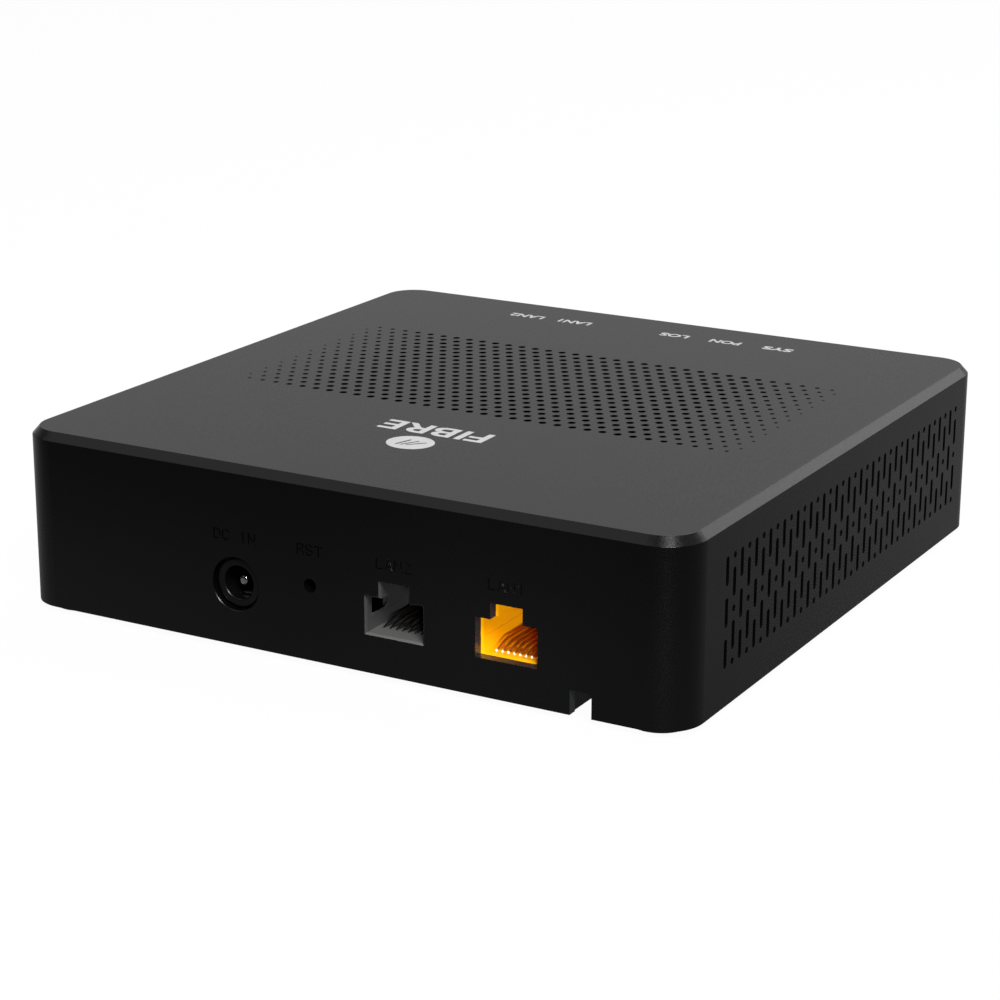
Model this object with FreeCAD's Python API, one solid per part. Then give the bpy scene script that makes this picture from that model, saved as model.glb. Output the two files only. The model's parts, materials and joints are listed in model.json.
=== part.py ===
"""Desktop optical network terminal: a square two-part case with one fibre port and two Ethernet ports.

Units are millimetres. The origin is on the table, under the middle of the case.
+Z is up, the port panel faces +Y and the status lights face -Y.
"""
import math
import os

import FreeCAD
import Part

# Case -------------------------------------------------------------------------------------------
case_width = 140.0
case_depth = 140.0
case_height = 34.4
corner_radius = 7.8
wall = 2.0
floor = 2.0
cover_thickness = 2.0
chamfer_width = 1.43
chamfer_height = 1.59
lip_depth = 3.2
lip_thickness = 1.2
lip_clearance = 0.15

# Feet, case screws and base label -----------------------------------------------------------------
foot_radius = 5.7
foot_edge = 0.08
foot_height = 1.3
foot_inset = 8.25
foot_recess = 0.4
foot_clearance = 0.1
case_boss_radius = 4.2
case_boss_height = 12.0
cover_post_radius = 3.5
screw_radius = 1.45
screw_clearance = 0.15
thread_radius = 1.2
thread_clearance = 0.04
thread_engagement = 8.0
screw_head_radius = 2.8
screw_head_height = 2.4
screw_head_seat = 3.0
label_width = 62.0
label_depth = 38.0
label_thickness = 0.15
label_recess = 0.2
label_corner = 2.0
cross_thickness = 0.5
case_cross_reach = 1.4
case_cross_depth = 1.1

# Vents ----------------------------------------------------------------------------------------------
perforation_pitch = 3.2
perforation_rows = 19
perforation_columns = 34
perforation_centre_y = -7.54
perforation_diameter = 1.56
perforation_end_diameter = 0.58
perforation_taper = 20.8
side_vent_pitch = 3.0
side_vent_rear_margin = 16.2
side_vent_front_margin = 12.5
side_vent_middle = 17.35
side_slot_width = 1.2
side_slot_length = 5.3
side_slot_spacing = 7.52
side_dot_spacing = 9.68
side_short_spacing = 4.85
floor_slot_width = 2.0
floor_slot_length = 14.0
floor_slot_pitch = 6.0
floor_slot_count = 9

# Board ----------------------------------------------------------------------------------------------
board_top = 5.5
board_thickness = 1.6
board_clearance = 1.5
board_boss_radius = 3.0
board_screw_radius = 1.2
board_screw_length = 4.1
board_screw_head_radius = 2.3
board_screw_head_height = 1.5
board_boss_inset = 12.0
board_cross_reach = 1.1
board_cross_depth = 0.8
tail_length = 1.3
pin_hole_radius = 0.45

# Rear panel, measured from the outer face of the -X side --------------------------------------------
bay_inner_offset = 21.8
lan1_offset = 33.95
lan2_offset = 56.65
reset_offset = 74.2
dc_offset = 90.4
port_text_height = 1.8
port_text_stretch = 1.22
port_text_middle = 21.0
port_text_stroke = 0.3
port_text_depth = 0.25

# Ethernet jacks -------------------------------------------------------------------------------------
jack_width = 15.6
jack_height = 13.4
jack_depth = 21.1
port_width = 12.3
port_bottom = 7.15
port_height = 7.45
latch_width = 6.35
latch_height = 3.0
cavity_width = 11.85
cavity_depth = 15.5
contact_chamber = 4.1
contact_count = 8
contact_thickness = 0.34
contact_width = 0.42
contact_rise = 1.1
contact_ramp = 4.4
contact_tip_setback = 3.7
lan1_contact_pitch = 1.17
lan2_contact_pitch = 1.3
nose_wall = 0.3
nose_clearance = 0.05
side_window_length = 5.6
side_window_height = 3.85
side_window_bottom = 10.35
side_window_corner = 1.0
side_window_wall = 0.3
side_window_margin = 1.2
lead_in = 0.6
rim_thickness = 0.06
comb_clearance = 0.14
comb_depth = 0.9
parting_line_width = 0.14
parting_line_height = 10.1
jack_gap = 0.1

# Power inlet ----------------------------------------------------------------------------------------
dc_axis_height = 11.8
dc_hole_radius = 5.1
dc_nose_radius = 4.7
dc_nose_recess = 1.0
dc_bore_radius = 3.15
dc_bore_depth = 10.5
dc_mouth_fillet = 0.35
dc_width = 9.6
dc_depth = 14.1
dc_pin_radius = 1.0
dc_pin_setback = 2.4
dc_pin_tail_radius = 0.8
dc_pin_clearance = 0.03
dc_hole_chamfer = 0.1
dc_leaf_setback = 7.4
dc_slot_half = 1.3

# Reset switch ---------------------------------------------------------------------------------------
reset_height = 14.3
reset_hole_radius = 1.3
reset_body_size = 6.0
reset_body_depth = 3.6
reset_body_setback = 8.8
reset_plunger_radius = 1.75
reset_plunger_reach = 5.4
reset_flange_radius = 2.2
reset_clearance = 0.05
reset_travel = 0.3
reset_sheet = 0.3
reset_lead_x = 1.6
reset_lead_radius = 0.3
reset_flange = 0.6

# Fibre bay and optical receptacle --------------------------------------------------------------------
bay_width = 14.5
bay_length = 50.0
bay_ceiling = 11.5
bay_wall = 1.5
channel_width = 6.5
channel_step = 0.3
channel_length = 13.0
notch_width = 4.2
notch_height = 4.6
notch_radius = 1.0
optic_axis_height = 7.2
receptacle_width = 12.6
receptacle_height = 9.6
receptacle_depth = 24.0
receptacle_clearance = 0.15
ear_thickness = 1.6
socket_width = 9.2
socket_height = 7.6
socket_depth = 18.0
sleeve_radius = 1.8
sleeve_bore_radius = 1.26
sleeve_length = 13.0
optic_block_size = 7.0
optic_block_depth = 8.0
optic_can_radius = 2.7
optic_can_length = 5.0
optic_lead_radius = 0.225
optic_lead_pitch = 0.8
key_half_width = 1.2
key_length = 9.0
ear_half = 3.0
ear_offset = 4.0

# Lights ---------------------------------------------------------------------------------------------
light_pitch = 12.04
light_slots = (-2.5, -1.5, -0.5, 1.5, 2.5)
light_centre_x = 0.2
light_height = 27.0
light_pipe_radius = 1.1
light_pipe_clearance = 0.1
light_leg = 2.2
light_leg_setback = 3.5
led_height = 0.8

# Processor and heat sink ------------------------------------------------------------------------------
soc_size = 16.0
soc_height = 1.3
soc_from_lan2 = 17.35
soc_from_rear = 78.0
thermal_pad_height = 0.6
sink_size = 32.0
sink_base = 2.0
sink_height = 12.0
sink_fins = 9
fin_thickness = 1.2
push_pin_radius = 1.2
push_pin_inset = 3.2
push_pin_head = 2.4

# Other parts on the board -----------------------------------------------------------------------------
transformer_width = 15.4
transformer_depth = 9.2
transformer_height = 5.6
transformer_gap = 9.0
memory_width = 18.0
memory_depth = 10.0
memory_height = 1.0
memory_offset = 24.0
soic_width = 5.0
soic_depth = 4.0
soic_height = 1.5
shield_width = 16.0
shield_depth = 20.0
shield_height = 3.5
shield_sheet = 0.25
shield_hole_radius = 0.6
shield_offset = 14.0
inductor_half = 3.5
inductor_height = 4.0
inductor_offset = 9.0
converter_gap = 8.0
converter_pitch = 20.0
capacitor_radius = 3.15
capacitor_height = 8.0
capacitor_seat = 3.3
capacitor_pitch = 8.5
capacitor_gap = 5.5
small_part_half_width = 0.5
small_part_half_length = 0.8
small_part_pitch = 3.0
crystal_half_width = 5.1
crystal_half_depth = 1.9
crystal_height = 3.4
crystal_rim = 0.5
crystal_offset = 12.0

# Places worked out from the sizes above ---------------------------------------------------------------
base = foot_height
top = base + case_height
seam = top - chamfer_height
inside_floor = base + floor
board_face = base + board_top
board_back = board_face - board_thickness
rear = case_depth / 2
rear_inside = rear - wall
front = -case_depth / 2
side = case_width / 2
side_inside = side - wall
corner_x = side - corner_radius
corner_y = rear - corner_radius
board_x = side_inside - board_clearance
board_y = rear_inside - board_clearance
tail_bottom = board_back - tail_length
lan1_x = -side + lan1_offset
lan2_x = -side + lan2_offset
reset_x = -side + reset_offset
dc_x = -side + dc_offset
bay_x1 = -side + bay_inner_offset
bay_x0 = bay_x1 - bay_width
channel_x0 = bay_x1 - channel_width
channel_y0 = rear_inside - channel_length
bay_y0 = channel_y0 - bay_length
optic_x = (bay_x0 + bay_x1) / 2
optic_z = base + optic_axis_height
receptacle_back = bay_y0 - receptacle_depth
optic_can_end = receptacle_back - optic_block_depth - optic_can_length
optic_lead_y = optic_can_end - 3.0
led_y = front + wall + light_leg_setback
sink_bottom = board_face + soc_height + thermal_pad_height
soc_x = lan2_x + soc_from_lan2
soc_y = rear - soc_from_rear
memory_y = soc_y - memory_offset
shield_x = optic_x + optic_block_size / 2 + optic_can_length + 3.0 + shield_width / 2
shield_y = soc_y - shield_offset
flash_x = shield_x + shield_width / 2 + 6.0
label_y = perforation_centre_y - label_depth / 2


def vec(x, y, z):
    """A point or a direction."""
    return FreeCAD.Vector(x, y, z)


def box(x0, x1, y0, y1, z0, z1):
    """A block between two opposite corners."""
    return Part.makeBox(x1 - x0, y1 - y0, z1 - z0, vec(x0, y0, z0))


def upright(x, y, radius, z0, z1):
    """A vertical cylinder."""
    return Part.makeCylinder(radius, z1 - z0, vec(x, y, z0), vec(0, 0, 1))


def along_y(x, z, radius, y0, y1):
    """A cylinder along Y."""
    return Part.makeCylinder(radius, y1 - y0, vec(x, y0, z), vec(0, 1, 0))


def along_x(y, z, radius, x0, x1):
    """A cylinder along X."""
    return Part.makeCylinder(radius, x1 - x0, vec(x0, y, z), vec(1, 0, 0))


def rounded_wire(x0, x1, y0, y1, radius, z):
    """A rectangle with round corners, flat at height z."""
    c = radius * (1 - math.sqrt(0.5))
    points = [
        [(x0 + radius, y0), (x1 - radius, y0), (x1 - c, y0 + c), (x1, y0 + radius)],
        [(x1, y0 + radius), (x1, y1 - radius), (x1 - c, y1 - c), (x1 - radius, y1)],
        [(x1 - radius, y1), (x0 + radius, y1), (x0 + c, y1 - c), (x0, y1 - radius)],
        [(x0, y1 - radius), (x0, y0 + radius), (x0 + c, y0 + c), (x0 + radius, y0)],
    ]
    edges = []
    for start, end, middle, corner in points:
        edges.append(Part.makeLine(vec(*start, z), vec(*end, z)))
        edges.append(Part.Arc(vec(*end, z), vec(*middle, z), vec(*corner, z)).toShape())
    return Part.Wire(edges)


def rounded_block(x0, x1, y0, y1, z0, z1, radius):
    """A block with round vertical corners."""
    face = Part.Face(rounded_wire(x0, x1, y0, y1, radius, z0))
    return face.extrude(vec(0, 0, z1 - z0))


def case_block(inset, z0, z1):
    """The case outline, moved inwards by an inset."""
    x = side - inset
    y = rear - inset
    return rounded_block(-x, x, -y, y, z0, z1, corner_radius - inset)


def side_capsule(y, z, width, height, x0, x1):
    """An upright slot with round ends, cut along X."""
    r = width / 2
    h = height / 2 - r
    if h < 0.01:
        return along_x(y, z, r, x0, x1)
    low = vec(x0, y - r, z - h)
    high = vec(x0, y - r, z + h)
    low_end = vec(x0, y + r, z - h)
    high_end = vec(x0, y + r, z + h)
    edges = [
        Part.makeLine(low, high),
        Part.Arc(high, vec(x0, y, z + h + r), high_end).toShape(),
        Part.makeLine(high_end, low_end),
        Part.Arc(low_end, vec(x0, y, z - h - r), low).toShape(),
    ]
    return Part.Face(Part.Wire(edges)).extrude(vec(x1 - x0, 0, 0))


def strip(points, thickness, x, width):
    """A flat strip bent along a path of (y, z) points, as wide as given along X."""
    left = []
    right = []
    for i, (y, z) in enumerate(points):
        before = points[max(i - 1, 0)]
        after = points[min(i + 1, len(points) - 1)]
        a1 = math.atan2(z - before[1], y - before[0])
        a2 = math.atan2(after[1] - z, after[0] - y)
        if i == 0:
            a1 = a2
        if i == len(points) - 1:
            a2 = a1
        turn = math.remainder(a2 - a1, 2 * math.pi)
        middle = a1 + turn / 2 + math.pi / 2
        offset = thickness / 2 / math.cos(turn / 2)
        dy = offset * math.cos(middle)
        dz = offset * math.sin(middle)
        left.append(vec(x - width / 2, y + dy, z + dz))
        right.append(vec(x - width / 2, y - dy, z - dz))
    outline = left + right[::-1]
    face = Part.Face(Part.makePolygon(outline + outline[:1]))
    return face.extrude(vec(width, 0, 0))


def fuse(shapes):
    """One solid from shapes that overlap or meet."""
    return shapes[0].multiFuse(shapes[1:]).removeSplitter()


def group(shapes):
    """Separate solids kept in one node."""
    return Part.makeCompound(shapes)


def cross(x, y, reach, z0, z1):
    """A cross-shaped cutter for a screw's drive."""
    half = cross_thickness / 2
    return fuse([box(x - reach, x + reach, y - half, y + half, z0, z1),
                 box(x - half, x + half, y - reach, y + reach, z0, z1)])


def corners():
    """The middles of the four round corners, where the case screws are."""
    return [(sx * corner_x, sy * corner_y) for sx in (-1, 1) for sy in (-1, 1)]


def foot_places():
    """The middles of the feet, just inside the case screws."""
    return [(sx * (side - foot_inset), sy * (rear - foot_inset)) for sx in (-1, 1) for sy in (-1, 1)]


# Case -------------------------------------------------------------------------------------------


def perforation_size(x):
    """Vent holes shrink towards both ends of their field."""
    half_length = perforation_columns * perforation_pitch / 2
    left = min((half_length - abs(x)) / perforation_taper, 1.0)
    growth = max(left, 0.0) ** 0.6
    return perforation_end_diameter + (perforation_diameter - perforation_end_diameter) * growth


def perforations():
    """A field of round vent holes in staggered rows."""
    row_pitch = perforation_pitch * math.sqrt(3) / 2
    holes = []
    for row in range(perforation_rows):
        y = perforation_centre_y + (row - (perforation_rows - 1) / 2) * row_pitch
        count = perforation_columns + row % 2
        for column in range(count):
            x = (column - (count - 1) / 2) * perforation_pitch
            radius = perforation_size(x) / 2
            holes.append(upright(x, y, radius, top - cover_thickness - 1, top + 1))
    return holes


def side_vents():
    """Columns of slots, and of dots and slots in turn, through both side walls."""
    count = int((case_depth - side_vent_rear_margin - side_vent_front_margin) / side_vent_pitch) + 1
    middle = base + side_vent_middle
    column_slots = [(-side_slot_spacing, side_slot_length), (0, side_slot_length),
                    (side_slot_spacing, side_slot_length)]
    column_dots = [(-side_dot_spacing, side_slot_width), (-side_short_spacing, side_slot_length),
                   (0, side_slot_width), (side_short_spacing, side_slot_length),
                   (side_dot_spacing, side_slot_width)]
    cuts = []
    for column in range(count):
        y = rear - side_vent_rear_margin - column * side_vent_pitch
        pattern = column_dots if column % 2 else column_slots
        for offset, length in pattern:
            z = middle + offset
            cuts.append(side_capsule(y, z, side_slot_width, length, -side - 1, -side_inside + 0.5))
            cuts.append(side_capsule(y, z, side_slot_width, length, side_inside - 0.5, side + 1))
    return cuts


def floor_vents():
    """Two rows of slots in the floor, under the board."""
    cuts = []
    behind_label = perforation_centre_y + label_depth / 2 - floor_slot_length / 2
    for y0 in (behind_label, behind_label + 2 * floor_slot_length):
        for column in range(floor_slot_count):
            x = soc_x + (column - (floor_slot_count - 1) / 2) * floor_slot_pitch
            x0 = x - floor_slot_width / 2
            x1 = x + floor_slot_width / 2
            y1 = y0 + floor_slot_length
            cuts.append(rounded_block(x0, x1, y0, y1, base - 1, inside_floor + 0.5,
                                      floor_slot_width / 2 - 0.01))
    return cuts


def top_cover():
    """Flat top with a chamfered rim, a lip inside the walls and four screw posts."""
    inset = wall + lip_clearance
    plate_bottom = top - cover_thickness
    rim_low = rounded_wire(-side, side, front, rear, corner_radius, seam)
    rim_high = rounded_wire(-side + chamfer_width, side - chamfer_width, front + chamfer_width,
                            rear - chamfer_width, corner_radius - chamfer_width, top)
    rim = Part.makeLoft([rim_low, rim_high], True, True)
    slab = case_block(inset, plate_bottom, seam)
    lip = case_block(inset, seam - lip_depth, seam)
    lip = lip.cut(case_block(inset + lip_thickness, seam - lip_depth - 1, plate_bottom))
    posts = [upright(x, y, cover_post_radius, base + case_boss_height, plate_bottom + 0.5)
             for x, y in corners()]
    cover = fuse([rim, slab, lip] + posts)
    pilots = [upright(x, y, thread_radius + thread_clearance, base + case_boss_height - 1,
                      base + case_boss_height + thread_engagement + 1) for x, y in corners()]
    return cover.cut(group(pilots + perforations()))


def ethernet_cutout(x, extra):
    """The stepped opening of an Ethernet port, grown by extra on every side, along Y."""
    w = port_width / 2 + extra
    n = latch_width / 2 + extra
    z0 = base + port_bottom - extra
    z1 = base + port_bottom + port_height + extra
    z2 = z1 + latch_height
    return [(x - w, z0), (x + w, z0), (x + w, z1), (x + n, z1), (x + n, z2), (x - n, z2),
            (x - n, z1), (x - w, z1)]


def outline_along_y(outline, y0, y1):
    """A solid from an outline of (x, z) points, run along Y."""
    points = [vec(x, y0, z) for x, z in outline]
    face = Part.Face(Part.makePolygon(points + points[:1]))
    return face.extrude(vec(0, y1 - y0, 0))


GLYPHS = {
    "A": [[(0, 0), (0.3, 1), (0.6, 0)], [(0.1, 0.33), (0.5, 0.33)]],
    "C": [[(0.6, 0.8), (0.42, 1), (0.18, 1), (0, 0.8), (0, 0.2), (0.18, 0), (0.42, 0), (0.6, 0.2)]],
    "D": [[(0, 0), (0, 1), (0.35, 1), (0.6, 0.75), (0.6, 0.25), (0.35, 0), (0, 0)]],
    "I": [[(0.3, 0), (0.3, 1)]],
    "L": [[(0, 1), (0, 0), (0.52, 0)]],
    "N": [[(0, 0), (0, 1), (0.6, 0), (0.6, 1)]],
    "R": [[(0, 0), (0, 1), (0.42, 1), (0.58, 0.85), (0.58, 0.65), (0.42, 0.5), (0, 0.5)],
          [(0.32, 0.5), (0.6, 0)]],
    "S": [[(0.56, 0.85), (0.42, 1), (0.16, 1), (0, 0.86), (0, 0.64), (0.14, 0.53), (0.44, 0.47),
           (0.58, 0.36), (0.58, 0.14), (0.42, 0), (0.16, 0), (0, 0.15)]],
    "T": [[(0, 1), (0.6, 1)], [(0.3, 1), (0.3, 0)]],
    "1": [[(0.08, 0.8), (0.34, 1), (0.34, 0)]],
    "2": [[(0.02, 0.82), (0.16, 1), (0.42, 1), (0.57, 0.84), (0.57, 0.66), (0, 0), (0.6, 0)]],
}
glyph_width = 0.6
glyph_advance = 0.86


def engraved_text(text, centre_x):
    """Cutters for a word on the rear face, read from behind the case."""
    high = port_text_height
    wide = port_text_height * port_text_stretch
    length = ((len(text) - 1) * glyph_advance + glyph_width) * wide
    bottom = base + port_text_middle - high / 2
    cutters = []
    for i, letter in enumerate(text):
        start = centre_x + length / 2 - i * glyph_advance * wide
        for line in GLYPHS.get(letter, []):
            for (u0, v0), (u1, v1) in zip(line, line[1:]):
                cutters.append(stroke(start - u0 * wide, bottom + v0 * high,
                                      start - u1 * wide, bottom + v1 * high))
    return cutters


def stroke(x0, z0, x1, z1):
    """One straight engraved stroke."""
    half = port_text_stroke / 2
    length = math.hypot(x1 - x0, z1 - z0)
    ux = (x1 - x0) / length * half
    uz = (z1 - z0) / length * half
    outline = [(x0 - ux - uz, z0 - uz + ux), (x1 + ux - uz, z1 + uz + ux),
               (x1 + ux + uz, z1 + uz - ux), (x0 - ux + uz, z0 - uz - ux)]
    return outline_along_y(outline, rear - port_text_depth, rear + 0.5)


def board_bosses():
    """Where the board is screwed down: two in front, one at the rear right, one behind the bay."""
    x = board_x - board_boss_inset / 2
    y = board_y - board_boss_inset
    rear_left = (bay_x1 + board_boss_inset / 2, bay_y0 + board_boss_inset / 2)
    return [(-x, -y), (x, -y), (x, y - board_boss_inset), rear_left]


def fibre_bay_walls():
    """Walls and ceiling round the pocket and channel for the fibre plug."""
    ceiling = base + bay_ceiling + bay_wall
    pocket = box(bay_x0 - bay_wall, bay_x1 + bay_wall, bay_y0 - bay_wall, channel_y0 + bay_wall,
                 base, ceiling)
    channel = box(channel_x0 - bay_wall, bay_x1 + bay_wall, channel_y0, rear_inside + 0.5,
                  base, ceiling)
    return [pocket, channel]


def fibre_bay_space():
    """The pocket, the channel, the notch in the rear wall and the hole for the receptacle."""
    low = base - 1
    ceiling = base + bay_ceiling
    pocket = box(bay_x0, bay_x1, bay_y0, channel_y0, low, ceiling)
    channel = box(channel_x0, bay_x1, channel_y0 - 1, rear_inside, low, ceiling)
    notch_x1 = bay_x1 - channel_step
    notch_x0 = notch_x1 - notch_width
    notch = box(notch_x0, notch_x1, rear_inside - 1, rear + 1, low, base + notch_height)
    crown = [e for e in notch.Edges if e.BoundBox.YLength > wall and e.BoundBox.XMax < notch_x1
             and e.BoundBox.ZMin > base + notch_height - 0.01]
    notch = notch.makeFillet(notch_radius, crown)
    half_w = receptacle_width / 2 + receptacle_clearance
    half_h = receptacle_height / 2 + receptacle_clearance
    mouth = box(optic_x - half_w, optic_x + half_w, bay_y0 - bay_wall - 1, bay_y0 + 0.5,
                optic_z - half_h, optic_z + half_h)
    return [pocket, channel, notch, mouth]


def bottom_shell():
    """Floor and walls with bosses, the fibre bay, port openings and vents."""
    outer = case_block(0, base, seam)
    hollow = case_block(wall, inside_floor, seam + 1)
    tray = outer.cut(hollow)
    solids = [tray] + fibre_bay_walls()
    solids += [upright(x, y, case_boss_radius, inside_floor - 0.5, base + case_boss_height)
               for x, y in corners()]
    solids += [upright(x, y, board_boss_radius, inside_floor - 0.5, board_back)
               for x, y in board_bosses()]
    rib_y = (bay_y0 + receptacle_back) / 2
    rib_half = receptacle_width / 2 - 1
    solids.append(box(optic_x - rib_half, optic_x + rib_half, rib_y - 3, rib_y + 3,
                      inside_floor - 0.5, optic_z - receptacle_height / 2))
    shell = fuse(solids)
    cuts = fibre_bay_space()
    for x, y in foot_places():
        cuts.append(upright(x, y, foot_radius + foot_clearance, base - 1, base + foot_recess))
    for x, y in corners():
        cuts.append(upright(x, y, screw_head_radius + 0.4, base - 1, base + screw_head_seat))
        cuts.append(upright(x, y, screw_radius + screw_clearance, base,
                            base + case_boss_height + 1))
    for x, y in board_bosses():
        cuts.append(upright(x, y, board_screw_radius + thread_clearance, inside_floor - 0.9,
                            board_back + 1))
    y0 = rear_inside - 1
    y1 = rear + 1
    cuts.append(outline_along_y(ethernet_cutout(lan1_x, 0), y0, y1))
    cuts.append(outline_along_y(ethernet_cutout(lan2_x, nose_clearance), y0, y1))
    cuts.append(along_y(dc_x, base + dc_axis_height, dc_hole_radius, y0, y1))
    cuts.append(along_y(reset_x, base + reset_height, reset_hole_radius, y0, y1))
    cuts.append(Part.makeCone(dc_hole_radius, dc_hole_radius + dc_hole_chamfer, dc_hole_chamfer,
                              vec(dc_x, rear - dc_hole_chamfer, base + dc_axis_height),
                              vec(0, 1, 0)))
    for slot in light_slots:
        cuts.append(along_y(light_x(slot), base + light_height,
                            light_pipe_radius + light_pipe_clearance, front - 1,
                            front + wall + 0.5))
    half_w = label_width / 2 + foot_clearance
    half_d = label_depth / 2 + foot_clearance
    cuts.append(rounded_block(-half_w, half_w, label_y - half_d, label_y + half_d, base - 1,
                              base + label_recess, label_corner))
    words = [("DC IN", dc_x), ("RST", reset_x), ("LAN2", lan2_x), ("LAN1", lan1_x)]
    for word, x in words:
        cuts += engraved_text(word, x)
    cuts += side_vents()
    cuts += floor_vents()
    return shell.cut(group(cuts))


def rubber_feet():
    """Four round feet, glued into recesses over the case screws."""
    feet = []
    for x, y in foot_places():
        foot = upright(x, y, foot_radius, 0, base + foot_recess)
        rim = [e for e in foot.Edges if e.BoundBox.ZMax < 0.01]
        feet.append(foot.makeChamfer(foot_edge, rim))
    return group(feet)


def case_screws():
    """Four self-tapping screws from below, up into the cover's posts."""
    screws = []
    for x, y in corners():
        seat = base + screw_head_seat
        joint = base + case_boss_height
        head = upright(x, y, screw_head_radius, seat - screw_head_height, seat)
        shank = upright(x, y, screw_radius, seat, joint)
        thread = upright(x, y, thread_radius, joint, joint + thread_engagement)
        screw = fuse([head, shank, thread])
        bottom = seat - screw_head_height
        screws.append(screw.cut(cross(x, y, case_cross_reach, bottom - 1,
                                      bottom + case_cross_depth)))
    return group(screws)


def base_label():
    """A blank rating label in its recess under the floor."""
    z1 = base + label_recess
    return rounded_block(-label_width / 2, label_width / 2, label_y - label_depth / 2,
                         label_y + label_depth / 2, z1 - label_thickness, z1, label_corner)


def light_x(slot):
    """Where a status light is across the case."""
    return light_centre_x + slot * light_pitch


def light_guide():
    """One clear moulding: a leg over each light, a stub through the front wall and a tie bar."""
    half = light_leg / 2
    leg_top = base + light_height + light_pipe_radius
    bar = box(light_x(light_slots[0]) - half, light_x(light_slots[-1]) + half, led_y - half,
              led_y + half, base + light_height - 4, base + light_height - 2.4)
    solids = [bar]
    for slot in light_slots:
        x = light_x(slot)
        solids.append(box(x - half, x + half, led_y - half, led_y + half,
                          board_face + led_height + 0.2, leg_top))
        solids.append(along_y(x, base + light_height, light_pipe_radius, front + 0.05, led_y))
    return fuse(solids)


# Board and its screws -------------------------------------------------------------------------------


def contact_rows(centre_x, pitch):
    """Each contact of an Ethernet jack: where it is across and where its tail goes down."""
    first = rear_inside - jack_gap - cavity_depth - contact_chamber / 4
    rows = (first, first - contact_chamber / 2)
    return [(centre_x + (i - (contact_count - 1) / 2) * pitch, rows[i % 2])
            for i in range(contact_count)]


def main_pcb():
    """The board, cut away round the corner bosses, the fibre bay and the optics."""
    board = rounded_block(-board_x, board_x, -board_y, board_y, board_back, board_face, 3.0)
    low = board_back - 1
    high = board_face + 1
    cuts = [upright(x, y, case_boss_radius + 0.8, low, high) for x, y in corners()]
    edge = bay_x1 + bay_wall + 0.6
    cuts.append(box(-side, edge, receptacle_back - 0.5, rear, low, high))
    half = optic_block_size / 2 + 0.6
    cuts.append(box(optic_x - half, optic_x + optic_block_size / 2 + optic_can_length + 0.6,
                    optic_can_end - 0.4, receptacle_back + 1, low, high))
    for x, y in board_bosses():
        cuts.append(upright(x, y, board_screw_radius + screw_clearance, low, high))
    for centre, pitch in ((lan1_x, lan1_contact_pitch), (lan2_x, lan2_contact_pitch)):
        for x, y in contact_rows(centre, pitch):
            cuts.append(upright(x, y, pin_hole_radius, low, high))
        for peg_x in (centre - jack_peg_x, centre + jack_peg_x):
            cuts.append(upright(peg_x, jack_peg_y, jack_peg_radius + 0.1, low, high))
    ear_x, ear_y = receptacle_ear()
    cuts.append(upright(ear_x, ear_y, board_screw_radius + thread_clearance, low, high))
    for x, y in push_pins():
        cuts.append(upright(x, y, push_pin_radius + 0.1, low, high))
    for x, y in dc_tails():
        cuts.append(box(x - 1.3, x + 1.3, y - 0.6, y + 0.6, low, high))
    for x in (reset_x - reset_body_size / 2 - reset_sheet / 2,
              reset_x + reset_body_size / 2 + reset_sheet / 2):
        y = reset_back + reset_body_depth / 2
        cuts.append(box(x - 0.4, x + 0.4, y - 1.0, y + 1.0, low, high))
    for x in (reset_x - reset_lead_x, reset_x + reset_lead_x):
        cuts.append(upright(x, reset_back + reset_body_depth / 2, pin_hole_radius, low, high))
    return board.cut(group(cuts))


def pan_screw(x, y, seat, length):
    """A small cross-head screw, driven downwards."""
    head_height = board_screw_head_height
    head = upright(x, y, board_screw_head_radius, seat, seat + head_height)
    rim = [e for e in head.Edges if e.BoundBox.ZMin > seat + head_height - 0.01]
    head = head.makeFillet(head_height * 0.45, rim)
    shank = upright(x, y, board_screw_radius, seat - length, seat)
    screw = fuse([head, shank])
    top_z = seat + head_height
    return screw.cut(cross(x, y, board_cross_reach, top_z - board_cross_depth, top_z + 1))


def pcb_screws():
    """Four screws that hold the board on its bosses."""
    return group([pan_screw(x, y, board_face, board_screw_length) for x, y in board_bosses()])


# Power inlet ------------------------------------------------------------------------------------------

dc_front = rear_inside - jack_gap
dc_back = dc_front - dc_depth
dc_axis = base + dc_axis_height
dc_bore_end = rear - dc_nose_recess - dc_bore_depth
dc_leaf_y = dc_front - dc_leaf_setback


def dc_tails():
    """Where the two solder tails go through the board."""
    return [(dc_x, dc_back - 0.3), (dc_x, dc_leaf_y)]


def dc_jack_housing():
    """Black moulded socket for a round power plug."""
    body = box(dc_x - dc_width / 2, dc_x + dc_width / 2, dc_back, dc_front, board_face,
               dc_axis + dc_nose_radius)
    nose = along_y(dc_x, dc_axis, dc_nose_radius, dc_front - 0.5, rear - dc_nose_recess)
    housing = fuse([body, nose])
    bore = along_y(dc_x, dc_axis, dc_bore_radius, dc_bore_end, rear)
    pin_hole = along_y(dc_x, dc_axis, dc_pin_tail_radius + dc_pin_clearance, dc_back - 1,
                       dc_bore_end + 1)
    slot = box(dc_x - dc_slot_half, dc_x + dc_slot_half, dc_leaf_y - 0.5, dc_front - 1.4, board_face - 1,
               dc_axis - dc_bore_radius + 0.6)
    housing = housing.cut(group([bore, pin_hole, slot]))
    mouth = [e for e in housing.Edges if e.BoundBox.YMin > rear - dc_nose_recess - 0.01]
    return housing.makeFillet(dc_mouth_fillet, mouth)


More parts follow.
